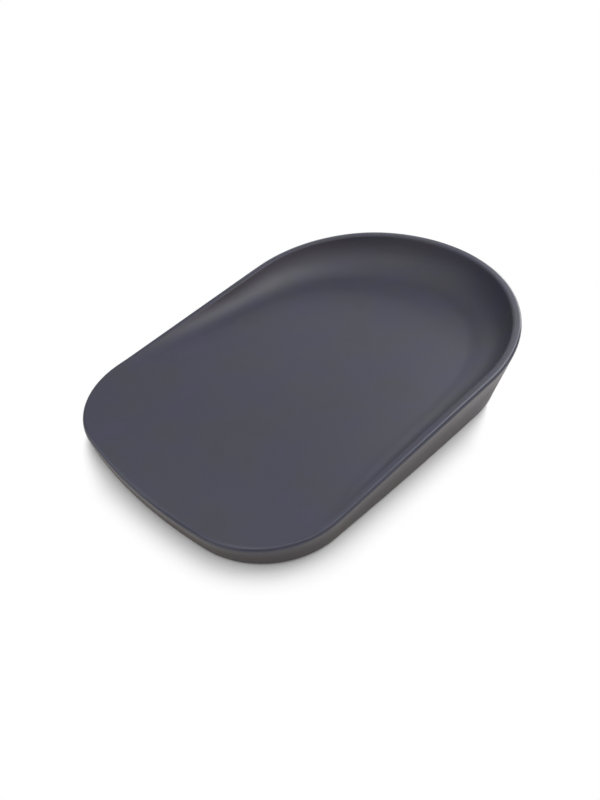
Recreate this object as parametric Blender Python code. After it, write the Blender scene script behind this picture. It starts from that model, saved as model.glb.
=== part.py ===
"""Baby changing mat: one tray-shaped cushion of moulded foam with a smooth dark skin.

The plan is a tombstone, a half circle at the head and broad round corners at the foot, with sides that
draw in a little towards the foot.  At the foot end the lying surface runs out flush with the rim.  From
there it levels off, while the rim climbs along both sides and stands highest round the head, so the lying
surface becomes a shallow basin.  The outer wall leans in towards the base.

+Y points to the head, +X across the mat and +Z up.  The origin is on the table, under the middle.
All sizes are in metres.
"""

from math import acos, asin, atan2, cos, hypot, pi, radians, sin, sqrt

import bmesh
import bpy
from mathutils import Vector

# Plan of the rim
LENGTH = 0.700
WIDTH = 0.490
SIDE_TAPER = radians(3.05)
FOOT_CORNER_RADIUS = 0.1298
FOOT_BOW = 0.0411

# Rim above the table.  Its slope is gentle at the foot, grows to the slope of the sides within the climb
# shares of the length, and eases off again within the ease shares.
FOOT_RIM_HEIGHT = 0.0326
HEAD_RIM_HEIGHT = 0.1112
FOOT_RIM_SLOPE = 0.0698
HEAD_RIM_SLOPE = 0.0518
CLIMB_SHARES = (0.168, 0.218)
EASE_SHARES = (0.891, 1.0)

# Cross-section of the rim and of the wall outside it
RIM_EDGE_RADIUS = 0.0050
FOOT_RIM_LAND = 0.0064
HEAD_RIM_LAND = 0.0118
BASE_EDGE_RADIUS = 0.0050
FOOT_WALL_LEAN = 0.0052
MIDDLE_WALL_LEAN = 0.0102
HEAD_WALL_LEAN = 0.0339

# Lying surface, which follows the rim at the foot and levels off within the level shares, and the wall
# of the basin round it.  The wall's two curves grow with its height, up to the radii given here.
LEVEL_SHARES = (0.100, 0.220)
DECK_SLOPE = 0.0108
BASIN_EDGE_RADIUS = 0.0038
COVE_RADIUS = 0.0640
LEAST_CURVES = 0.0450
CURVES_PER_DROP = 1.6
LEAST_DROP = 0.0010
BASIN_WALL_ANGLE = radians(76)

# Layers
SKIN = 0.0025
CLEARANCE = 0.0003
SEAM_LIP_WIDTH = 0.0120

# Grip pads under the base
PAD_RADIUS = 0.0200
PAD_SEAT_DEPTH = 0.0012
PAD_STAND = 0.0008
PAD_EDGE_BEVEL = 0.0006
GRIP_RING_SHARES = (0.45, 0.75)
GRIP_GROOVE_WIDTH = 0.0020
GRIP_GROOVE_DEPTH = 0.0005
PAD_ROWS = ("foot", "middle", "head")
PAD_LENGTH_SHARES = (0.16, 0.50, 0.83)
PAD_WIDTH_SHARES = (0.58, 0.64, 0.36)

# Smoothness of the round stretches
FOOT_STEPS = 4
CORNER_STEPS = 9
SIDE_STEPS = 9
SHOULDER_STEPS = 1
HEAD_STEPS = 14
BASE_EDGE_STEPS = 3
RIM_EDGE_STEPS = 4
BASIN_EDGE_STEPS = 3
COVE_STEPS = 5
PAD_STEPS = 20
SEAT_ROUNDS = 12

HALF_LENGTH = LENGTH / 2
HALF_WIDTH = WIDTH / 2
FOOT_ARC_RADIUS = (HALF_WIDTH ** 2 + FOOT_BOW ** 2) / (2 * FOOT_BOW)
LAYER_DEPTH = SKIN + CLEARANCE
RIM_EDGE = max(RIM_EDGE_RADIUS, LAYER_DEPTH + CLEARANCE)
BASE_EDGE = max(BASE_EDGE_RADIUS, LAYER_DEPTH + CLEARANCE)
BASIN_EDGE = max(BASIN_EDGE_RADIUS, LAYER_DEPTH + CLEARANCE)
SMALL_CURVES = max(LEAST_CURVES, 2 * (LAYER_DEPTH + CLEARANCE))


def clear_scene():
    for item in list(bpy.data.objects):
        bpy.data.objects.remove(item, do_unlink=True)


def make_material(name, colour, roughness):
    material = bpy.data.materials.new(name)
    material.use_nodes = True
    shader = material.node_tree.nodes["Principled BSDF"]
    shader.inputs["Base Color"].default_value = (*colour, 1.0)
    shader.inputs["Roughness"].default_value = roughness
    shader.inputs["Metallic"].default_value = 0.0
    material.diffuse_color = (*colour, 1.0)
    return material


def arc_points(centre, radius, start, end, steps):
    """Plan points and outward directions along an arc, its first point left out."""
    points = []
    for step in range(1, steps + 1):
        angle = start + (end - start) * step / steps
        out = Vector((cos(angle), sin(angle)))
        points.append((centre + radius * out, out))
    return points


def plan_outline():
    """Points and outward directions of the rim's outermost line, anticlockwise from the foot."""
    head = Vector((0, HALF_LENGTH - HALF_WIDTH))
    foot_centre = Vector((0, FOOT_ARC_RADIUS - HALF_LENGTH))
    side_out = Vector((cos(SIDE_TAPER), -sin(SIDE_TAPER)))
    footward = Vector((-sin(SIDE_TAPER), -cos(SIDE_TAPER)))
    inner = head + (HALF_WIDTH - FOOT_CORNER_RADIUS) * side_out
    reach = FOOT_ARC_RADIUS - FOOT_CORNER_RADIUS
    away = inner - foot_centre
    along = -away.dot(footward)
    corner = inner + (along + sqrt(along ** 2 + reach ** 2 - away.dot(away))) * footward
    turn = atan2(corner.y - foot_centre.y, corner.x)
    side_start = corner + FOOT_CORNER_RADIUS * side_out
    side_end = head + HALF_WIDTH * side_out

    half = [(Vector((0, -HALF_LENGTH)), Vector((0, -1)))]
    half += arc_points(foot_centre, FOOT_ARC_RADIUS, -pi / 2, turn, FOOT_STEPS)
    half += arc_points(corner, FOOT_CORNER_RADIUS, turn, -SIDE_TAPER, CORNER_STEPS)
    for step in range(1, SIDE_STEPS + 1):
        half.append((side_start.lerp(side_end, step / SIDE_STEPS), side_out))
    half += arc_points(head, HALF_WIDTH, -SIDE_TAPER, 0, SHOULDER_STEPS)
    half += arc_points(head, HALF_WIDTH, 0, pi / 2, HEAD_STEPS)

    mirrored = []
    for place, out in reversed(half[1:-1]):
        mirrored.append((Vector((-place.x, place.y)), Vector((-out.x, out.y))))
    return half + mirrored


def share_along(y):
    """How far along the mat a place lies, 0 at the foot end and 1 at the head end."""
    return (y + HALF_LENGTH) / LENGTH


def ramp_run(share, start, end):
    """Ground covered by a slope that grows evenly from 0 at start to 1 at end and then stays."""
    part = min(max(share - start, 0), end - start)
    return part ** 2 / (2 * (end - start)) + max(share - end, 0)


def side_slope():
    """Slope of the rim along the sides that takes it from its foot height to its head height."""
    climb = ramp_run(1, *CLIMB_SHARES)
    ease = ramp_run(1, *EASE_SHARES)
    ends = FOOT_RIM_SLOPE * (1 - climb) + HEAD_RIM_SLOPE * ease
    return ((HEAD_RIM_HEIGHT - FOOT_RIM_HEIGHT) / LENGTH - ends) / (climb - ease)


def rim_height(y):
    """Height of the rim above the table."""
    share = share_along(y)
    climb = (side_slope() - FOOT_RIM_SLOPE) * ramp_run(share, *CLIMB_SHARES)
    ease = (side_slope() - HEAD_RIM_SLOPE) * ramp_run(share, *EASE_SHARES)
    return FOOT_RIM_HEIGHT + LENGTH * (FOOT_RIM_SLOPE * share + climb - ease)


def basin_depth(y):
    """How far the lying surface lies below the rim, nothing at all near the foot."""
    share = share_along(y)
    levelled = (FOOT_RIM_SLOPE - DECK_SLOPE) * ramp_run(share, *LEVEL_SHARES)
    deck = FOOT_RIM_HEIGHT + LENGTH * (FOOT_RIM_SLOPE * share - levelled)
    return max(rim_height(y) - deck, 0)


def wall_lean(y):
    """How far the foot of the outer wall lies inside the rim."""
    share = share_along(y)
    straight = FOOT_WALL_LEAN + (HEAD_WALL_LEAN - FOOT_WALL_LEAN) * share
    sag = (FOOT_WALL_LEAN + HEAD_WALL_LEAN) / 2 - MIDDLE_WALL_LEAN
    return straight - 4 * sag * share * (1 - share)


def rim_land(y):
    """Distance from the rim's outermost line to the place where its inner edge begins to turn down."""
    width = FOOT_RIM_LAND + (HEAD_RIM_LAND - FOOT_RIM_LAND) * share_along(y)
    return max(width, RIM_EDGE + CLEARANCE)


def basin_wall(drop):
    """Radii of the basin wall's two curves, its steepest angle and its straight length."""
    curves = min(max(CURVES_PER_DROP * drop, SMALL_CURVES), BASIN_EDGE + COVE_RADIUS)
    edge = min(curves / 2, BASIN_EDGE)
    if drop < curves * (1 - cos(BASIN_WALL_ANGLE)):
        return edge, curves - edge, acos(1 - drop / curves), 0
    straight = (drop - curves * (1 - cos(BASIN_WALL_ANGLE))) / sin(BASIN_WALL_ANGLE)
    return edge, curves - edge, BASIN_WALL_ANGLE, straight


def basin_reach(place, drop):
    """Distance from the rim's outermost line to the place where the lying surface begins."""
    edge, cove, angle, straight = basin_wall(drop)
    return rim_land(place.y) + (edge + cove) * sin(angle) + straight * cos(angle)


def basin_drop(place, out):
    """Drop at one station, found by walking in until the lying surface and the cove agree."""
    drop = LEAST_DROP
    for _ in range(SEAT_ROUNDS):
        found = basin_depth(place.y - out.y * basin_reach(place, drop))
        drop = (drop + max(found, LEAST_DROP)) / 2
    return drop


def basin_profile(place, out, depth):
    """Inset and height from the rim land, down the basin wall and cove, to the lying surface."""
    drop = basin_drop(place, out)
    edge, cove, angle, straight = basin_wall(drop)
    curve = []
    for step in range(BASIN_EDGE_STEPS + 1):
        turn = angle * step / BASIN_EDGE_STEPS
        bend = edge - depth
        curve.append((rim_land(place.y) + bend * sin(turn), bend * (1 - cos(turn))))
    for step in range(COVE_STEPS + 1):
        turn = angle * (1 - step / COVE_STEPS)
        bend = cove + depth
        curve.append((basin_reach(place, drop) - bend * sin(turn), drop - bend * (1 - cos(turn))))
    points = []
    for inset, fall in curve:
        y = place.y - inset * out.y
        points.append((inset, rim_height(y) - depth - fall * basin_depth(y) / drop))
    return points


def wall_profile(place, out, depth):
    """Inset and height from the base, round its edge, up the outer wall and over the rim's edge."""
    lean = wall_lean(place.y)
    across = RIM_EDGE - lean
    rise = rim_height(place.y) - RIM_EDGE - PAD_STAND
    tilt = asin(RIM_EDGE / hypot(across, rise)) - atan2(across, rise)
    base_inset = lean + BASE_EDGE * (1 - sin(tilt)) / cos(tilt)
    points = []
    for step in range(BASE_EDGE_STEPS + 1):
        turn = (pi / 2 - tilt) * step / BASE_EDGE_STEPS
        bend = BASE_EDGE - depth
        points.append((base_inset - bend * sin(turn), PAD_STAND + BASE_EDGE - bend * cos(turn)))
    turns = [-tilt] + [pi / 2 * step / RIM_EDGE_STEPS for step in range(RIM_EDGE_STEPS + 1)]
    for turn in turns:
        bend = RIM_EDGE - depth
        inset = RIM_EDGE - bend * cos(turn)
        points.append((inset, rim_height(place.y - inset * out.y) - RIM_EDGE + bend * sin(turn)))
    return points


def mat_profile(place, out, depth):
    """The whole section at one station, from the base edge to the lying surface."""
    return wall_profile(place, out, depth) + basin_profile(place, out, depth)


def as_ring(outline, insets_and_heights):
    """One closed ring of points, a given inset and height at each station."""
    ring = []
    for (place, out), (inset, height) in zip(outline, insets_and_heights):
        flat = place - inset * out
        ring.append(Vector((flat.x, flat.y, height)))
    return ring


def layer_rings(outline, depth):
    """Rings of one layer, base edge first and lying surface last."""
    profiles = [mat_profile(place, out, depth) for place, out in outline]
    return [as_ring(outline, level) for level in zip(*profiles)]


def seam_ring(outline, beyond, height):
    """Ring on the base, a set distance inside the end of the base edge."""
    level = []
    for place, out in outline:
        inset, _ = wall_profile(place, out, 0)[0]
        level.append((inset + beyond, height))
    return as_ring(outline, level)


def new_object(name, bm, material):
    bmesh.ops.recalc_face_normals(bm, faces=bm.faces)
    mesh = bpy.data.meshes.new(name)
    bm.to_mesh(mesh)
    bm.free()
    mesh.shade_smooth()
    mesh.set_sharp_from_angle(angle=radians(32))
    mesh.materials.append(material)
    item = bpy.data.objects.new(name, mesh)
    bpy.context.scene.collection.objects.link(item)
    return item


def cap(bm, edges, station):
    """Fill a ring and cut the cap into strips, each from a station to its mirror image."""
    bmesh.ops.edgeloop_fill(bm, edges=edges)
    ring = sorted({vert for edge in edges for vert in edge.verts}, key=lambda vert: vert[station])
    for number in range(1, len(ring) // 2):
        bmesh.ops.connect_verts(bm, verts=[ring[number], ring[-number]])


def loft(name, rings, material):
    """Sweep a closed loop through the rings, one extrusion a ring, and cap both ends."""
    bm = bmesh.new()
    station = bm.verts.layers.int.new("station")
    first = []
    for number, point in enumerate(rings[0]):
        vert = bm.verts.new(point)
        vert[station] = number
        first.append(vert)
    edges = [bm.edges.new((first[number - 1], first[number])) for number in range(len(first))]
    start = list(edges)
    for ring in rings[1:]:
        swept = bmesh.ops.extrude_edge_only(bm, edges=edges)["geom"]
        verts = {part for part in swept if isinstance(part, bmesh.types.BMVert)}
        for vert in verts:
            vert.co = ring[vert[station]]
        loops = [part for part in swept if isinstance(part, bmesh.types.BMEdge)]
        edges = [edge for edge in loops if set(edge.verts) <= verts]
    cap(bm, start, station)
    cap(bm, edges, station)
    return new_object(name, bm, material)


def make_upper_skin(outline, material):
    """Open-bottomed shell: lying surface, basin, rim, outer wall and a lip turned in below."""
    outside = layer_rings(outline, 0)
    inside = layer_rings(outline, SKIN)
    lip = [
        seam_ring(outline, SEAM_LIP_WIDTH, PAD_STAND),
        seam_ring(outline, SEAM_LIP_WIDTH, PAD_STAND + SKIN),
    ]
    return loft("upper_skin", outside[::-1] + lip + inside, material)


def make_foam_core(outline, material):
    return loft("foam_core", layer_rings(outline, LAYER_DEPTH), material)


def pad_places():
    """Name and plan position of each grip pad, in pairs along the mat."""
    places = []
    for row, along, across in zip(PAD_ROWS, PAD_LENGTH_SHARES, PAD_WIDTH_SHARES):
        for side, sign in (("left", -1), ("right", 1)):
            centre = Vector((sign * across * HALF_WIDTH, along * LENGTH - HALF_LENGTH))
            places.append((f"grip_pad_{row}_{side}", centre))
    return places


def make_underside_skin(outline, material):
    """Flat closing skin inside the turned-in lip, with one shallow round seat for each pad."""
    beyond = SEAM_LIP_WIDTH + CLEARANCE
    rings = [
        seam_ring(outline, beyond, PAD_STAND),
        seam_ring(outline, beyond, PAD_STAND + SKIN),
    ]
    skin = loft("underside_skin", rings, material)
    for name, centre in pad_places():
        seat = make_seat_cutter(f"seat_for_{name}", centre)
        cut = skin.modifiers.new(seat.name, "BOOLEAN")
        cut.operation = "DIFFERENCE"
        cut.solver = "EXACT"
        cut.object = seat
    return skin


def make_seat_cutter(name, centre):
    """Round cutter from below the base up to the ceiling of the seat."""
    bm = bmesh.new()
    radius = PAD_RADIUS + CLEARANCE
    bmesh.ops.create_cone(bm, cap_ends=True, segments=PAD_STEPS, radius1=radius, radius2=radius,
                          depth=2 * PAD_SEAT_DEPTH)
    bmesh.ops.translate(bm, vec=(centre.x, centre.y, PAD_STAND), verts=bm.verts)
    mesh = bpy.data.meshes.new(name)
    bm.to_mesh(mesh)
    bm.free()
    cutter = bpy.data.objects.new(name, mesh)
    cutter.hide_render = True
    cutter.display_type = "WIRE"
    bpy.context.scene.collection.objects.link(cutter)
    return cutter


def pad_profile():
    """Half-section of a pad: flat underside with ring grooves, bevelled edge, flat top."""
    top = PAD_STAND + PAD_SEAT_DEPTH - CLEARANCE
    points = [(0, 0)]
    for share in GRIP_RING_SHARES:
        middle = share * PAD_RADIUS
        points.append((middle - GRIP_GROOVE_WIDTH / 2, 0))
        points.append((middle, GRIP_GROOVE_DEPTH))
        points.append((middle + GRIP_GROOVE_WIDTH / 2, 0))
    points += [(PAD_RADIUS - PAD_EDGE_BEVEL, 0), (PAD_RADIUS, PAD_EDGE_BEVEL), (PAD_RADIUS, top), (0, top)]
    return points


def make_grip_pad(name, centre, material):
    """Turn the half-section once round the pad's own axis."""
    bm = bmesh.new()
    verts = [bm.verts.new((radius, 0, height)) for radius, height in pad_profile()]
    edges = [bm.edges.new(pair) for pair in zip(verts, verts[1:])]
    bmesh.ops.spin(bm, geom=verts + edges, cent=(0, 0, 0), axis=(0, 0, 1), angle=2 * pi,
                   steps=PAD_STEPS, use_merge=True)
    bmesh.ops.remove_doubles(bm, verts=bm.verts, dist=CLEARANCE / 10)
    pad = new_object(name, bm, material)
    pad.location = (centre.x, centre.y, 0)
    return pad


def build():
    clear_scene()
    skin = make_material("moulded_skin", (0.054, 0.054, 0.078), 0.50)
    foam = make_material("foam", (0.19, 0.19, 0.21), 0.90)
    rubber = make_material("grip_rubber", (0.035, 0.035, 0.040), 0.70)
    outline = plan_outline()
    make_upper_skin(outline, skin)
    make_foam_core(outline, foam)
    make_underside_skin(outline, skin)
    for name, centre in pad_places():
        make_grip_pad(name, centre, rubber)


build()
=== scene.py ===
from math import acos, asin, atan2, cos, hypot, pi, radians, sin, sqrt

import bmesh
import bpy
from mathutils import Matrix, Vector


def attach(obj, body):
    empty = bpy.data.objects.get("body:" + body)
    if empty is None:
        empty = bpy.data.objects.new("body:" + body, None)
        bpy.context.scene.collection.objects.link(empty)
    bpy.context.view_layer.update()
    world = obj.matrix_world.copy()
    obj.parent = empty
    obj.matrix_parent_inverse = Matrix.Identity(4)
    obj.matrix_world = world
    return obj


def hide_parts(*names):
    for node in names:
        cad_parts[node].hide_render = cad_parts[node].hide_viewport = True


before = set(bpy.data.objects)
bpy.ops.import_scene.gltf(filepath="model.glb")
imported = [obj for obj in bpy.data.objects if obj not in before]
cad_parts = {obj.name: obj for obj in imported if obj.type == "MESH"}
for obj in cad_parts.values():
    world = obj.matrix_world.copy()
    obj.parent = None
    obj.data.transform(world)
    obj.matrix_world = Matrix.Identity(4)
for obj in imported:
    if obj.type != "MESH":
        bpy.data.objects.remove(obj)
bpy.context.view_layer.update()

# Plan of the rim
LENGTH = 0.700
WIDTH = 0.490
SIDE_TAPER = radians(3.05)
FOOT_CORNER_RADIUS = 0.1298
FOOT_BOW = 0.0411

# Rim above the table.  Its slope is gentle at the foot, grows to the slope of the sides within the
# climb shares of the length, and eases off again within the ease shares.
FOOT_RIM_HEIGHT = 0.0326
HEAD_RIM_HEIGHT = 0.1112
FOOT_RIM_SLOPE = 0.0698
HEAD_RIM_SLOPE = 0.0518
CLIMB_SHARES = (0.168, 0.218)
EASE_SHARES = (0.891, 1.0)

# Cross-section of the rim and of the wall outside it
RIM_EDGE_RADIUS = 0.0050
FOOT_RIM_LAND = 0.0064
HEAD_RIM_LAND = 0.0118
BASE_EDGE_RADIUS = 0.0050
FOOT_WALL_LEAN = 0.0052
MIDDLE_WALL_LEAN = 0.0102
HEAD_WALL_LEAN = 0.0339

# Lying surface, which follows the rim at the foot and levels off within the level shares, and the
# wall of the basin round it.  The radii of the wall's two curves add up to a multiple of its
# height, but never to less than the least, nor to more than the two radii given here.
LEVEL_SHARES = (0.100, 0.220)
DECK_SLOPE = 0.0108
BASIN_EDGE_RADIUS = 0.0038
COVE_RADIUS = 0.0640
LEAST_CURVES = 0.0450
CURVES_PER_DROP = 1.6
LEAST_DROP = 0.0010
BASIN_WALL_ANGLE = radians(76)

# Layers, and how close together points are made one
SKIN = 0.0025
CLEARANCE = 0.0003
SEAM_LIP_WIDTH = 0.0120
LAYER_DEPTH = SKIN + CLEARANCE
MERGE = 0.000001

# Grip pads under the base
PAD_RADIUS = 0.0200
PAD_SEAT_DEPTH = 0.0012
PAD_STAND = 0.0008
PAD_EDGE_BEVEL = 0.0006
PAD_MERGE = CLEARANCE / 10
GRIP_RING_SHARES = (0.30, 0.45, 0.60, 0.75)
GRIP_GROOVE_WIDTH = 0.0012
GRIP_GROOVE_DEPTH = 0.0005

# Rows of pads: name, share of the length from the foot, and share of the half width
PAD_ROWS = (("foot", 0.16, 0.58), ("middle", 0.50, 0.64), ("head", 0.83, 0.36))

# Steps of the round and straight stretches
FOOT_STEPS = 16
CORNER_STEPS = 32
SIDE_STEPS = 60
SHOULDER_STEPS = 2
HEAD_STEPS = 60
BASE_EDGE_STEPS = 5
RIM_EDGE_STEPS = 9
BASIN_EDGE_STEPS = 8
COVE_STEPS = 20
WALL_STEPS = 4
PAD_STEPS = 64

# Rounds of the search for the basin's drop, and the turn beyond which an edge stays sharp
DROP_ROUNDS = 12
SHARP_ANGLE = radians(32)

HALF_LENGTH = LENGTH / 2
HALF_WIDTH = WIDTH / 2
FOOT_ARC_RADIUS = (HALF_WIDTH ** 2 + FOOT_BOW ** 2) / (2 * FOOT_BOW)

# Patterns of soft noise: scale in features to the metre, and detail
CLOUDS = (9.0, 3.0)
BLOTCHES = (16.0, 4.0)
MOTTLES = (70.0, 4.0)
WAVES = (45.0, 1.0)
FOAM_CLOUDS = (40.0, 3.0)
RUBBER_TOOTH = (1500.0, 2.0)
RUBBER_DUST = (120.0, 4.0)

# Patterns of cells: scale in cells to the metre, and the stretches of noise or of distance from a
# cell's middle over which a blotch or a pore begins
PEBBLE_SCALE = 900.0
PEBBLE_SMOOTHNESS = 0.6
PORE_SCALE = 160.0
PORE_RANGE = (0.05, 0.11)
BLOTCH_RANGE = (0.35, 0.65)
FOAM_CELL_SCALE = 700.0

# Strength and depth of the relief of each finish
SKIN_GRAIN = (0.35, 0.0004)
FOAM_GRAIN = (0.6, 0.0008)
RUBBER_GRAIN = (0.4, 0.0002)

# Moulded skin: its own finish, and what each pattern adds to its tone, roughness and relief
SKIN_COLOUR = (0.054, 0.054, 0.078)
SKIN_TONE = 0.94
CLOUD_TONE = 0.08
MOTTLE_TONE = 0.05
# The pores darken the tone: painted shade in their pits
PORE_TONE = 0.10
SKIN_ROUGHNESS = 0.43
MOTTLE_ROUGHNESS = 0.05
PORE_ROUGHNESS = 0.08
PEBBLE_RELIEF = 0.35
PORE_RELIEF = 0.5
WAVE_RELIEF = 0.4

# Hues of the skin against its own colour: in the two kinds of blotch, painted warm bounce light on
# the walls and a painted sheen on the rim
COOL_TINT = (1.00, 0.99, 1.14)
OLIVE_TINT = (0.99, 1.03, 0.92)
WALL_BOUNCE_TINT = (1.09, 0.90, 0.67)
RIM_SHEEN_TINT = (1.06, 1.12, 1.16)

# How far upright walls take the painted warm bounce light at the mat's middle, and how much less
# they take it for each metre to the right and for each metre towards the head
WALL_BOUNCE_SHARE = 0.5
BOUNCE_FADE_ACROSS = 1.1
BOUNCE_FADE_ALONG = 0.7

# Rim, rubbed smoother than the rest: how much roughness and what share of the relief it has lost,
# and the rings of the sweep over which that and the rim's painted sheen begin and end, counted from
# the lying surface
RIM_POLISH = 0.25
RUBBED_FLAT = 0.85
LAND_RING = COVE_STEPS + WALL_STEPS + BASIN_EDGE_STEPS
RUB_AND_SHEEN_BEGINS = (LAND_RING, LAND_RING + 2)
RUB_AND_SHEEN_ENDS = (LAND_RING + RIM_EDGE_STEPS + 1, LAND_RING + RIM_EDGE_STEPS + 4)

# Foam, between dark in the middle of its cells, which is painted shade in the cell hollows, and
# light
FOAM_DARK = (0.13, 0.13, 0.145)
FOAM_LIGHT = (0.23, 0.23, 0.25)
FOAM_CELL_SHARE = 0.6
FOAM_CLOUD_SHARE = 0.3
FOAM_ROUGHNESS = 0.92

# Rubber of the pads, clean and dusty
RUBBER_CLEAN = (0.030, 0.030, 0.034)
RUBBER_DUSTY = (0.075, 0.073, 0.070)
DUST_POWER = 3
RUBBER_ROUGHNESS = 0.60
DUST_ROUGHNESS = 0.2

# Camera, fitted to the photograph: distance in metres, and the focal length and the offset of the
# picture's centre in pixels of a picture of this height
SENSOR_WIDTH = 36.0
IMAGE_HEIGHT = 800
CAMERA_AZIMUTH = radians(42.60)
CAMERA_ELEVATION = radians(38.75)
CAMERA_DISTANCE = 0.9990
CAMERA_FOCAL_PIXELS = 618.5
CAMERA_OFF_CENTRE = (21.76, -19.74)

# White to the camera, the glow of the air, and the share of the floor's white that gloss mirrors
WHITE = (1.0, 1.0, 1.0, 1.0)
WHITE_STRENGTH = 1.0
AIR_STRENGTH = 0.10
MIRRORED_WHITE = 0.35

# Floor: its colour to the eye and in the light that it throws back, its reach, and how far it lies
# under the pads
FLOOR_COLOUR = (0.90, 0.90, 0.90)
FLOOR_BOUNCE = (0.90, 0.82, 0.70)
FLOOR_REACH = 15.0
FLOOR_GAP = 0.0001

# Rings over which the floor turns white: how far inside the mat's foot the first one lies, and the
# most that each lies farther out than the last
FLOOR_RINGS = 11
FLOOR_RING_START = 0.001
FLOOR_RING_STEP = 0.0046

# Soft shadow: its least reach, as a share of its full one, and the places between which it grows to
# its full reach: in from the left side, down from the head, and away from the near side
LEAST_SHADE = 0.06
SHADE_LEFT = (-0.190, -0.050)
SHADE_HEAD = (0.130, 0.030)
SHADE_SIDE = radians(43)
SHADE_BACK = (-0.140, -0.220)

# Soft boxes all round: name, azimuth and elevation in degrees, and power
SOFTBOX_DISTANCE = 2.0
SOFTBOX_SIZE = 1.2
SOFTBOXES = (
    ("front_low", 0, 12, 1.5),
    ("front", 0, 38, 3.1),
    ("front_high", 0, 65, 5.3),
    ("front_right", 45, 45, 2.5),
    ("right", 90, 38, 3.5),
    ("right_high", 90, 65, 4.0),
    ("back_right_low", 122, 8, 1.4),
    ("back_right", 152, 50, 11.2),
    ("back_low", 180, 12, 14.6),
    ("back", 180, 38, 5.2),
    ("back_high", 165, 64, 3.0),
    ("back_left_low", 225, 12, 6.4),
    ("left", 270, 38, 1.1),
    ("left_high", 270, 65, 2.8),
    ("front_left_low", 315, 12, 2.0),
    ("front_left", 315, 38, 3.8),
)


def arc_points(centre, radius, start, end, steps):
    """Plan points and outward directions along an arc, its first point left out."""
    points = []
    for step in range(1, steps + 1):
        angle = start + (end - start) * step / steps
        out = Vector((cos(angle), sin(angle)))
        points.append((centre + radius * out, out))
    return points


def plan_outline():
    """Points and outward directions of the rim's outermost line, anticlockwise from the foot."""
    head = Vector((0, HALF_LENGTH - HALF_WIDTH))
    foot_centre = Vector((0, FOOT_ARC_RADIUS - HALF_LENGTH))
    side_out = Vector((cos(SIDE_TAPER), -sin(SIDE_TAPER)))
    footward = Vector((-sin(SIDE_TAPER), -cos(SIDE_TAPER)))
    inner = head + (HALF_WIDTH - FOOT_CORNER_RADIUS) * side_out
    reach = FOOT_ARC_RADIUS - FOOT_CORNER_RADIUS
    away = inner - foot_centre
    along = -away.dot(footward)
    corner = inner + (along + sqrt(along ** 2 + reach ** 2 - away.dot(away))) * footward
    turn = atan2(corner.y - foot_centre.y, corner.x)
    side_start = corner + FOOT_CORNER_RADIUS * side_out
    side_end = head + HALF_WIDTH * side_out

    half = [(Vector((0, -HALF_LENGTH)), Vector((0, -1)))]
    half += arc_points(foot_centre, FOOT_ARC_RADIUS, -pi / 2, turn, FOOT_STEPS)
    half += arc_points(corner, FOOT_CORNER_RADIUS, turn, -SIDE_TAPER, CORNER_STEPS)
    for step in range(1, SIDE_STEPS + 1):
        half.append((side_start.lerp(side_end, step / SIDE_STEPS), side_out))
    half += arc_points(head, HALF_WIDTH, -SIDE_TAPER, 0, SHOULDER_STEPS)
    half += arc_points(head, HALF_WIDTH, 0, pi / 2, HEAD_STEPS)

    mirrored = []
    for place, out in reversed(half[1:-1]):
        mirrored.append((Vector((-place.x, place.y)), Vector((-out.x, out.y))))
    return half + mirrored


def share_along(y):
    """How far along the mat a place lies, 0 at the foot end and 1 at the head end."""
    return (y + HALF_LENGTH) / LENGTH


def ramp_run(share, start, end):
    """Ground covered by a slope that grows evenly from 0 at start to 1 at end and then stays."""
    part = min(max(share - start, 0), end - start)
    return part ** 2 / (2 * (end - start)) + max(share - end, 0)


def side_slope():
    """Slope of the rim along the sides that takes it from its foot height to its head height."""
    climb = ramp_run(1, *CLIMB_SHARES)
    ease = ramp_run(1, *EASE_SHARES)
    ends = FOOT_RIM_SLOPE * (1 - climb) + HEAD_RIM_SLOPE * ease
    return ((HEAD_RIM_HEIGHT - FOOT_RIM_HEIGHT) / LENGTH - ends) / (climb - ease)


def rim_height(y):
    """Height of the rim above the table."""
    share = share_along(y)
    climb = (side_slope() - FOOT_RIM_SLOPE) * ramp_run(share, *CLIMB_SHARES)
    ease = (side_slope() - HEAD_RIM_SLOPE) * ramp_run(share, *EASE_SHARES)
    return FOOT_RIM_HEIGHT + LENGTH * (FOOT_RIM_SLOPE * share + climb - ease)


def basin_depth(y):
    """How far the lying surface lies below the rim, nothing at all near the foot."""
    share = share_along(y)
    levelled = (FOOT_RIM_SLOPE - DECK_SLOPE) * ramp_run(share, *LEVEL_SHARES)
    deck = FOOT_RIM_HEIGHT + LENGTH * (FOOT_RIM_SLOPE * share - levelled)
    return max(rim_height(y) - deck, 0)


def wall_lean(y):
    """How far the foot of the outer wall lies inside the rim."""
    share = share_along(y)
    straight = FOOT_WALL_LEAN + (HEAD_WALL_LEAN - FOOT_WALL_LEAN) * share
    sag = (FOOT_WALL_LEAN + HEAD_WALL_LEAN) / 2 - MIDDLE_WALL_LEAN
    return straight - 4 * sag * share * (1 - share)


def rim_land(y):
    """Distance from the rim's outermost line to where its inner edge begins to turn down."""
    return FOOT_RIM_LAND + (HEAD_RIM_LAND - FOOT_RIM_LAND) * share_along(y)


def basin_wall(drop):
    """Radii of the basin wall's two curves, its steepest angle and its straight length."""
    curves = min(max(CURVES_PER_DROP * drop, LEAST_CURVES), BASIN_EDGE_RADIUS + COVE_RADIUS)
    edge = min(curves / 2, BASIN_EDGE_RADIUS)
    if drop < curves * (1 - cos(BASIN_WALL_ANGLE)):
        return edge, curves - edge, acos(1 - drop / curves), 0
    straight = (drop - curves * (1 - cos(BASIN_WALL_ANGLE))) / sin(BASIN_WALL_ANGLE)
    return edge, curves - edge, BASIN_WALL_ANGLE, straight


def basin_reach(place, drop):
    """Distance from the rim's outermost line to the place where the lying surface begins."""
    edge, cove, angle, straight = basin_wall(drop)
    return rim_land(place.y) + (edge + cove) * sin(angle) + straight * cos(angle)


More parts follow.
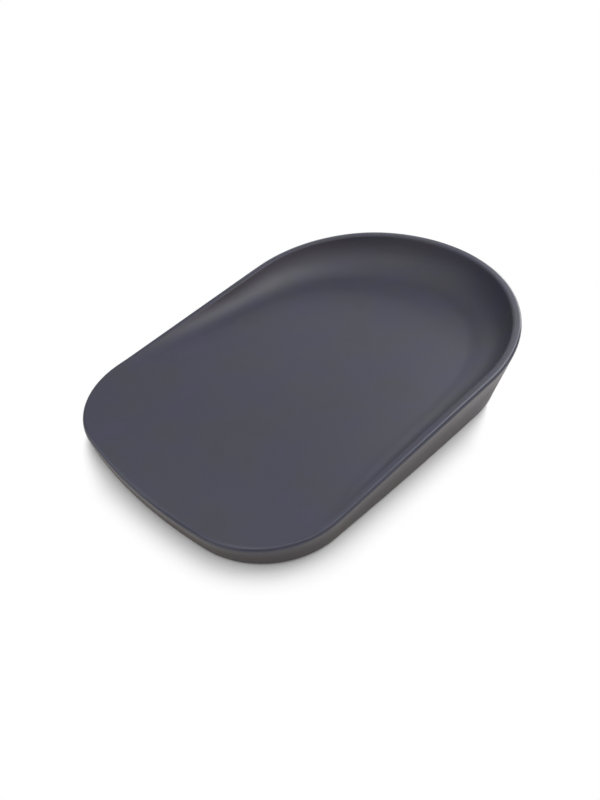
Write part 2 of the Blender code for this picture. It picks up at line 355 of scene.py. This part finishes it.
def basin_drop(place, out):
    """Drop at one station, found by walking in until the lying surface and the cove agree."""
    drop = LEAST_DROP
    for _ in range(DROP_ROUNDS):
        found = basin_depth(place.y - out.y * basin_reach(place, drop))
        drop = (drop + max(found, LEAST_DROP)) / 2
    return drop


def basin_profile(place, out, depth):
    """Inset and height from the rim land, down the basin wall and cove, to the lying surface."""
    drop = basin_drop(place, out)
    edge, cove, angle, _ = basin_wall(drop)
    curve = []
    for step in range(BASIN_EDGE_STEPS + 1):
        turn = angle * step / BASIN_EDGE_STEPS
        bend = edge - depth
        curve.append(Vector((rim_land(place.y) + bend * sin(turn), bend * (1 - cos(turn)))))
    cove_side = []
    for step in range(COVE_STEPS + 1):
        turn = angle * (1 - step / COVE_STEPS)
        bend = cove + depth
        inset = basin_reach(place, drop) - bend * sin(turn)
        cove_side.append(Vector((inset, drop - bend * (1 - cos(turn)))))
    wall = [curve[-1].lerp(cove_side[0], step / WALL_STEPS) for step in range(1, WALL_STEPS)]
    points = []
    for inset, fall in curve + wall + cove_side:
        y = place.y - inset * out.y
        points.append((inset, rim_height(y) - depth - fall * basin_depth(y) / drop))
    return points


def wall_profile(place, out, depth):
    """Inset and height from the base, round its edge, up the outer wall and over the rim's edge."""
    lean = wall_lean(place.y)
    across = RIM_EDGE_RADIUS - lean
    rise = rim_height(place.y) - RIM_EDGE_RADIUS - PAD_STAND
    tilt = asin(RIM_EDGE_RADIUS / hypot(across, rise)) - atan2(across, rise)
    base_inset = lean + BASE_EDGE_RADIUS * (1 - sin(tilt)) / cos(tilt)
    points = []
    for step in range(BASE_EDGE_STEPS + 1):
        turn = (pi / 2 - tilt) * step / BASE_EDGE_STEPS
        bend = BASE_EDGE_RADIUS - depth
        height = PAD_STAND + BASE_EDGE_RADIUS - bend * cos(turn)
        points.append(Vector((base_inset - bend * sin(turn), height)))
    edge = []
    for turn in [-tilt] + [pi / 2 * step / RIM_EDGE_STEPS for step in range(RIM_EDGE_STEPS + 1)]:
        bend = RIM_EDGE_RADIUS - depth
        inset = RIM_EDGE_RADIUS - bend * cos(turn)
        height = rim_height(place.y - inset * out.y) - RIM_EDGE_RADIUS + bend * sin(turn)
        edge.append(Vector((inset, height)))
    wall = [points[-1].lerp(edge[0], step / WALL_STEPS) for step in range(1, WALL_STEPS)]
    return points + wall + edge


def as_ring(outline, insets_and_heights):
    """One closed ring of points, a given inset and height at each station."""
    ring = []
    for (place, out), (inset, height) in zip(outline, insets_and_heights):
        flat = place - inset * out
        ring.append(Vector((flat.x, flat.y, height)))
    return ring


def layer_rings(outline, depth):
    """Rings of one layer, base edge first and lying surface last."""
    profiles = []
    for place, out in outline:
        profiles.append(wall_profile(place, out, depth) + basin_profile(place, out, depth))
    return [as_ring(outline, level) for level in zip(*profiles)]


def seam_ring(outline, beyond, height):
    """Ring on the base, a set distance inside the end of the base edge."""
    level = [(wall_profile(place, out, 0)[0].x + beyond, height) for place, out in outline]
    return as_ring(outline, level)


def add_object(name, bm):
    """An object of the scene with that mesh, which is used up."""
    mesh = bpy.data.meshes.new(name)
    bm.to_mesh(mesh)
    bm.free()
    made = bpy.data.objects.new(name, mesh)
    bpy.context.scene.collection.objects.link(made)
    return made


def new_piece(name, bm, material, replaced):
    """A finished piece that rides with the mat and stands for the nodes that it replaces."""
    bmesh.ops.recalc_face_normals(bm, faces=bm.faces)
    piece = add_object(name, bm)
    piece.data.shade_smooth()
    piece.data.set_sharp_from_angle(angle=SHARP_ANGLE)
    piece.data.materials.append(material)
    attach(piece, "root")
    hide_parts(*replaced)
    return piece


def cap(bm, edges, station):
    """Fill a ring and cut the cap into strips, each from a station to its mirror image."""
    bmesh.ops.edgeloop_fill(bm, edges=edges)
    ring = sorted({vert for edge in edges for vert in edge.verts}, key=lambda vert: vert[station])
    for number in range(1, len(ring) // 2):
        bmesh.ops.connect_verts(bm, verts=[ring[number], ring[-number]])


def sweep(rings):
    """Sweep a closed loop through the rings: the mesh, its first edges and its last ones."""
    bm = bmesh.new()
    station = bm.verts.layers.int.new("station")
    level = bm.verts.layers.float.new("ring")
    verts = bmesh.ops.create_circle(bm, segments=len(rings[0]), radius=HALF_WIDTH)["verts"]
    for number, vert in enumerate(verts):
        vert[station] = number
        vert.co = rings[0][number]
    start = edges = list(bm.edges)
    for number, ring in enumerate(rings[1:], 1):
        swept = bmesh.ops.extrude_edge_only(bm, edges=edges)["geom"]
        verts = {part for part in swept if isinstance(part, bmesh.types.BMVert)}
        for vert in verts:
            vert[level] = number
            vert.co = ring[vert[station]]
        loops = [part for part in swept if isinstance(part, bmesh.types.BMEdge)]
        edges = [edge for edge in loops if set(edge.verts) <= verts]
    return bm, start, edges


def loft(rings):
    """A closed body swept through the rings and capped at both ends."""
    bm, start, end = sweep(rings)
    station = bm.verts.layers.int["station"]
    cap(bm, start, station)
    cap(bm, end, station)
    bmesh.ops.remove_doubles(bm, verts=bm.verts, dist=MERGE)
    return bm


def make_mat_skin(outline, material):
    """Lying surface, basin, rim and outer wall in one skin, with a lip turned in below."""
    outside = layer_rings(outline, 0)
    inside = layer_rings(outline, SKIN)
    lip = [
        seam_ring(outline, SEAM_LIP_WIDTH, PAD_STAND),
        seam_ring(outline, SEAM_LIP_WIDTH, PAD_STAND + SKIN),
    ]
    bm = loft(outside[::-1] + lip + inside)
    skin = new_piece("mat_skin", bm, material, ["upper_skin"])

    # Steepness of the skin, which sets where the painted warm bounce light falls
    steep = skin.data.attributes.new("steep", "FLOAT", "POINT")
    for vertex, share in zip(skin.data.vertices, steep.data):
        share.value = 1 - vertex.normal.z ** 2


def make_mat_foam(outline, material):
    """Soft core that fills the skin, a clearance inside it."""
    bm = loft(layer_rings(outline, LAYER_DEPTH))
    foam = new_piece("mat_foam", bm, material, ["foam_core"])


def pad_places():
    """Name and plan position of each grip pad, in pairs along the mat."""
    places = []
    for row, along, across in PAD_ROWS:
        for side, sign in (("left", -1), ("right", 1)):
            centre = Vector((sign * across * HALF_WIDTH, along * LENGTH - HALF_LENGTH))
            places.append((f"{row}_{side}", centre))
    return places


def make_mat_underside(outline, material):
    """Flat closing skin inside the turned-in lip, with one shallow round seat for each pad."""
    beyond = SEAM_LIP_WIDTH + CLEARANCE
    rings = [
        seam_ring(outline, beyond, PAD_STAND),
        seam_ring(outline, beyond, PAD_STAND + SKIN),
    ]
    underside = new_piece("mat_underside", loft(rings), material, ["underside_skin"])
    seats = []
    for name, centre in pad_places():
        bm = bmesh.new()
        radius = PAD_RADIUS + CLEARANCE
        bmesh.ops.create_cone(bm, cap_ends=True, segments=PAD_STEPS, radius1=radius,
                              radius2=radius, depth=2 * PAD_SEAT_DEPTH)
        bmesh.ops.translate(bm, vec=(centre.x, centre.y, PAD_STAND), verts=bm.verts)
        seat = add_object(f"seat_{name}", bm)
        cut = underside.modifiers.new(seat.name, "BOOLEAN")
        cut.operation = "DIFFERENCE"
        cut.solver = "EXACT"
        cut.object = seat
        seats.append(seat)
    bpy.context.view_layer.update()
    graph = bpy.context.evaluated_depsgraph_get()
    cut_mesh = bpy.data.meshes.new_from_object(underside.evaluated_get(graph))
    underside.modifiers.clear()
    underside.data = cut_mesh
    for seat in seats:
        bpy.data.objects.remove(seat, do_unlink=True)


def pad_profile():
    """Half-section of a pad: flat underside with ring grooves, bevelled edge, flat top."""
    top = PAD_STAND + PAD_SEAT_DEPTH - CLEARANCE
    points = [(0, 0)]
    for share in GRIP_RING_SHARES:
        middle = share * PAD_RADIUS
        points.append((middle - GRIP_GROOVE_WIDTH / 2, 0))
        points.append((middle, GRIP_GROOVE_DEPTH))
        points.append((middle + GRIP_GROOVE_WIDTH / 2, 0))
    points.append((PAD_RADIUS - PAD_EDGE_BEVEL, 0))
    points += [(PAD_RADIUS, PAD_EDGE_BEVEL), (PAD_RADIUS, top), (0, top)]
    return points


def make_grip_pad(name, centre, material):
    """Turn the half-section once round the pad's own axis."""
    bm = bmesh.new()
    verts = [bm.verts.new((radius, 0, height)) for radius, height in pad_profile()]
    edges = [bm.edges.new(pair) for pair in zip(verts, verts[1:])]
    bmesh.ops.spin(bm, geom=verts + edges, cent=(0, 0, 0), axis=(0, 0, 1), angle=2 * pi,
                   steps=PAD_STEPS, use_merge=True)
    bmesh.ops.remove_doubles(bm, verts=bm.verts, dist=PAD_MERGE)
    bmesh.ops.translate(bm, vec=(centre.x, centre.y, 0), verts=bm.verts)
    new_piece(f"pad_{name}", bm, material, [f"grip_pad_{name}"])


class Wire:
    """A socket that adds, subtracts and multiplies as a number does."""

    def __init__(self, shader, socket):
        self.shader = shader
        self.socket = socket

    def math(self, operation, first, second):
        return self.shader.node("ShaderNodeMath", {"operation": operation}, {0: first, 1: second})

    def __add__(self, other):
        return self.math("ADD", self, other)

    def __sub__(self, other):
        return self.math("SUBTRACT", self, other)

    def __rsub__(self, other):
        return self.math("SUBTRACT", other, self)

    def __mul__(self, other):
        return self.math("MULTIPLY", self, other)

    def __pow__(self, other):
        return self.math("POWER", self, other)

    __radd__ = __add__
    __rmul__ = __mul__


class Shader:
    """The node tree of one material or world."""

    def __init__(self, owner):
        owner.use_nodes = True
        self.tree = owner.node_tree
        self.tree.nodes.clear()

    def node(self, kind, settings=None, sockets=None, output=0):
        """A node of that type, its settings first and then its sockets, as a wire."""
        made = self.tree.nodes.new(kind)
        for name, value in (settings or {}).items():
            setattr(made, name, value)
        for name, value in (sockets or {}).items():
            if isinstance(value, Wire):
                self.tree.links.new(value.socket, made.inputs[name])
            else:
                made.inputs[name].default_value = value
        return Wire(self, made.outputs[output]) if made.outputs else None

    def mix(self, share, first, second):
        """First colour where the share is 0 and second colour where it is 1."""
        colours = [value if isinstance(value, Wire) else (*value, 1.0) for value in (first, second)]
        sockets = {0: share, 6: colours[0], 7: colours[1]}
        return self.node("ShaderNodeMix", {"data_type": "RGBA"}, sockets, 2)

    def noise(self, place, scale, detail):
        """Soft noise between 0 and 1."""
        sockets = {"Vector": place, "Scale": scale, "Detail": detail}
        return self.node("ShaderNodeTexNoise", {}, sockets)

    def rise(self, value, start, end, kind="LINEAR"):
        """0 where the value is at start or before it, and 1 where it is at end or beyond."""
        sockets = {"Value": value, "From Min": start, "From Max": end}
        return self.node("ShaderNodeMapRange", {"interpolation_type": kind}, sockets)

    def surface(self, colour, roughness, relief, strength, depth):
        """Lead a surface with that colour, roughness and relief to the material's output."""
        sockets = {"Strength": strength, "Distance": depth, "Height": relief}
        bump = self.node("ShaderNodeBump", {}, sockets)
        sockets = {"Base Color": colour, "Roughness": roughness, "Normal": bump}
        shaded = self.node("ShaderNodeBsdfPrincipled", {}, sockets)
        self.node("ShaderNodeOutputMaterial", {}, {"Surface": shaded})


def tinted(colour, tint):
    """The colour, each part of it times the same part of the tint."""
    return [part * share for part, share in zip(colour, tint)]


def moulded_skin():
    """Satin moulded skin: grain, pores with painted shade, uneven hue, painted warm bounce light on
    the walls, and a painted sheen on a rim worn smoother.
    """
    material = bpy.data.materials.new("moulded_skin_fine")
    s = Shader(material)
    place = s.node("ShaderNodeTexCoord", output="Object")
    across = s.node("ShaderNodeSeparateXYZ", {}, {"Vector": place}, "X")
    along = s.node("ShaderNodeSeparateXYZ", {}, {"Vector": place}, "Y")
    steep = s.node("ShaderNodeAttribute", {"attribute_name": "steep"}, output="Fac")
    ring = s.node("ShaderNodeAttribute", {"attribute_name": "ring"}, output="Fac")
    # Mask of the rim: its smoother finish and its painted sheen
    rubbed_and_sheen = s.rise(ring, *RUB_AND_SHEEN_BEGINS) - s.rise(ring, *RUB_AND_SHEEN_ENDS)

    cloudy = s.noise(place, *CLOUDS)
    mottled = s.noise(place, *MOTTLES)
    wavy = s.noise(place, *WAVES)
    patchy = s.rise(s.noise(place, *BLOTCHES), *BLOTCH_RANGE)
    pebbles = s.node("ShaderNodeTexVoronoi", {"feature": "SMOOTH_F1"},
                     {"Vector": place, "Scale": PEBBLE_SCALE, "Smoothness": PEBBLE_SMOOTHNESS})
    pitted = s.node("ShaderNodeTexVoronoi", {}, {"Vector": place, "Scale": PORE_SCALE})
    pores = 1 - s.rise(pitted, *PORE_RANGE, "SMOOTHSTEP")

    level = s.mix(patchy, tinted(SKIN_COLOUR, COOL_TINT), tinted(SKIN_COLOUR, OLIVE_TINT))
    # Painted warm bounce light: upright walls take a warmer hue, less to the right and towards the
    # head
    painted_bounce = steep * (WALL_BOUNCE_SHARE - BOUNCE_FADE_ACROSS * across - BOUNCE_FADE_ALONG * along)
    walls = s.mix(painted_bounce, level, tinted(SKIN_COLOUR, WALL_BOUNCE_TINT))
    # Painted sheen: a lighter, bluer hue on the rim
    hue = s.mix(rubbed_and_sheen, walls, tinted(SKIN_COLOUR, RIM_SHEEN_TINT))
    # The pores darken the tone: painted shade in their pits
    tone = SKIN_TONE + CLOUD_TONE * cloudy + MOTTLE_TONE * mottled - PORE_TONE * pores
    colour = s.node("ShaderNodeVectorMath", {"operation": "SCALE"}, {0: hue, "Scale": tone})

    rough = SKIN_ROUGHNESS + MOTTLE_ROUGHNESS * mottled + PORE_ROUGHNESS * pores
    relief = PEBBLE_RELIEF * pebbles - PORE_RELIEF * pores + WAVE_RELIEF * wavy
    worn = relief * (1 - RUBBED_FLAT * rubbed_and_sheen)
    s.surface(colour, rough - RIM_POLISH * rubbed_and_sheen, worn, *SKIN_GRAIN)
    return material


def soft_foam():
    """Fine closed-cell foam, dyed grey, with painted shade in the middle of its cells."""
    material = bpy.data.materials.new("soft_foam")
    s = Shader(material)
    place = s.node("ShaderNodeTexCoord", output="Object")
    cells = s.node("ShaderNodeTexVoronoi", {}, {"Vector": place, "Scale": FOAM_CELL_SCALE})
    cloudy = s.noise(place, *FOAM_CLOUDS)
    # Dark in the middle of each cell: painted shade in the cell hollows
    light = FOAM_CELL_SHARE * cells + FOAM_CLOUD_SHARE * cloudy
    s.surface(s.mix(light, FOAM_DARK, FOAM_LIGHT), FOAM_ROUGHNESS, cells, *FOAM_GRAIN)
    return material


def grip_rubber():
    """Matt dark rubber with a fine tooth and a little dust."""
    material = bpy.data.materials.new("grip_rubber_fine")
    s = Shader(material)
    place = s.node("ShaderNodeTexCoord", output="Object")
    tooth = s.noise(place, *RUBBER_TOOTH)
    dust = s.noise(place, *RUBBER_DUST)
    colour = s.mix(dust ** DUST_POWER, RUBBER_CLEAN, RUBBER_DUSTY)
    s.surface(colour, RUBBER_ROUGHNESS + DUST_ROUGHNESS * dust, tooth, *RUBBER_GRAIN)
    return material


def white_floor():
    """Matt white near the mat, which to the eye turns to pure white farther off."""
    material = bpy.data.materials.new("white_floor")
    s = Shader(material)
    eye = s.node("ShaderNodeLightPath", output="Is Camera Ray")
    gloss = s.node("ShaderNodeLightPath", output="Is Glossy Ray")
    seen = eye + MIRRORED_WHITE * gloss
    ring = s.node("ShaderNodeAttribute", {"attribute_name": "ring"}, output="Fac")
    far = s.rise(ring, 0, FLOOR_RINGS - 1, "SMOOTHSTEP")
    colour = s.mix(seen, FLOOR_BOUNCE, FLOOR_COLOUR)
    matt = s.node("ShaderNodeBsdfDiffuse", {}, {"Color": colour})
    white = s.node("ShaderNodeEmission", {}, {"Color": WHITE, "Strength": WHITE_STRENGTH})
    both = s.node("ShaderNodeMixShader", {}, {0: far * seen, 1: matt, 2: white})
    s.node("ShaderNodeOutputMaterial", {}, {"Surface": both})
    return material


def direction(azimuth, elevation):
    """Unit vector from the mat's middle, azimuth 0 at the foot and 90 degrees at the right side."""
    return Vector((
        sin(azimuth) * cos(elevation),
        -cos(azimuth) * cos(elevation),
        sin(elevation),
    ))


def share_between(value, start, end):
    """0 where the value is at start or before it, and 1 where it is at end or beyond."""
    return min(max((value - start) / (end - start), 0), 1)


def shade_spread(place):
    """Reach of the soft shadow: full at the near side, the foot and behind, elsewhere little."""
    from_left = share_between(place.x, *SHADE_LEFT)
    from_head = share_between(place.y, *SHADE_HEAD)
    behind = share_between(place.dot(direction(SHADE_SIDE, 0).xy), *SHADE_BACK)
    return LEAST_SHADE + (1 - LEAST_SHADE) * max(from_left * from_head, behind)


def make_floor(outline):
    """White studio floor: lit close round the mat, where it keeps the soft shadow."""
    rings = []
    for number in range(FLOOR_RINGS):
        level = []
        for place, _ in outline:
            step = FLOOR_RING_STEP * number * shade_spread(place)
            level.append((wall_lean(place.y) + FLOOR_RING_START - step, -FLOOR_GAP))
        rings.append(as_ring(outline, level))
    rings.append(as_ring(outline, [(-FLOOR_REACH, -FLOOR_GAP)] * len(outline)))
    bm, start, _ = sweep(rings)
    bmesh.ops.edgeloop_fill(bm, edges=start)
    bmesh.ops.recalc_face_normals(bm, faces=bm.faces)
    floor = add_object("studio_floor", bm)
    floor.data.materials.append(white_floor())


def make_world():
    """White to the camera, and a plain even glow to everything else."""
    world = bpy.data.worlds.new("studio_air")
    bpy.context.scene.world = world
    s = Shader(world)
    eye = s.node("ShaderNodeLightPath", output="Is Camera Ray")
    glow = s.node("ShaderNodeBackground", {}, {"Color": WHITE, "Strength": AIR_STRENGTH})
    white = s.node("ShaderNodeBackground", {}, {"Color": WHITE, "Strength": WHITE_STRENGTH})
    both = s.node("ShaderNodeMixShader", {}, {0: eye, 1: glow, 2: white})
    s.node("ShaderNodeOutputWorld", {}, {"Surface": both})


def aim(data, away, distance):
    """A lamp or camera that stands off in that direction and looks back at the mat's middle."""
    made = bpy.data.objects.new(data.name, data)
    made.location = distance * away
    made.rotation_mode = "QUATERNION"
    made.rotation_quaternion = (-away).to_track_quat("-Z", "Y")
    bpy.context.scene.collection.objects.link(made)
    return made


def make_softbox(name, azimuth, elevation, power):
    """A square white panel lamp, unseen by the camera."""
    data = bpy.data.lights.new(f"softbox_{name}", "AREA")
    data.shape = "SQUARE"
    data.size = SOFTBOX_SIZE
    data.energy = power
    lamp = aim(data, direction(radians(azimuth), radians(elevation)), SOFTBOX_DISTANCE)
    lamp.visible_camera = False


def make_camera():
    """The photograph's view: from the foot end, right of the mat, looking down at its middle."""
    data = bpy.data.cameras.new("photo_camera")
    data.sensor_width = SENSOR_WIDTH
    data.lens = CAMERA_FOCAL_PIXELS / IMAGE_HEIGHT * SENSOR_WIDTH
    data.shift_x = -CAMERA_OFF_CENTRE[0] / IMAGE_HEIGHT
    data.shift_y = CAMERA_OFF_CENTRE[1] / IMAGE_HEIGHT
    away = direction(CAMERA_AZIMUTH, CAMERA_ELEVATION)
    bpy.context.scene.camera = aim(data, away, CAMERA_DISTANCE)


outline = plan_outline()
skin = moulded_skin()
make_mat_skin(outline, skin)
make_mat_foam(outline, soft_foam())
make_mat_underside(outline, skin)
rubber = grip_rubber()
for pad_name, pad_centre in pad_places():
    make_grip_pad(pad_name, pad_centre, rubber)

make_floor(outline)
make_world()
for softbox in SOFTBOXES:
    make_softbox(*softbox)
make_camera()

bpy.context.scene.view_settings.view_transform = "Standard"
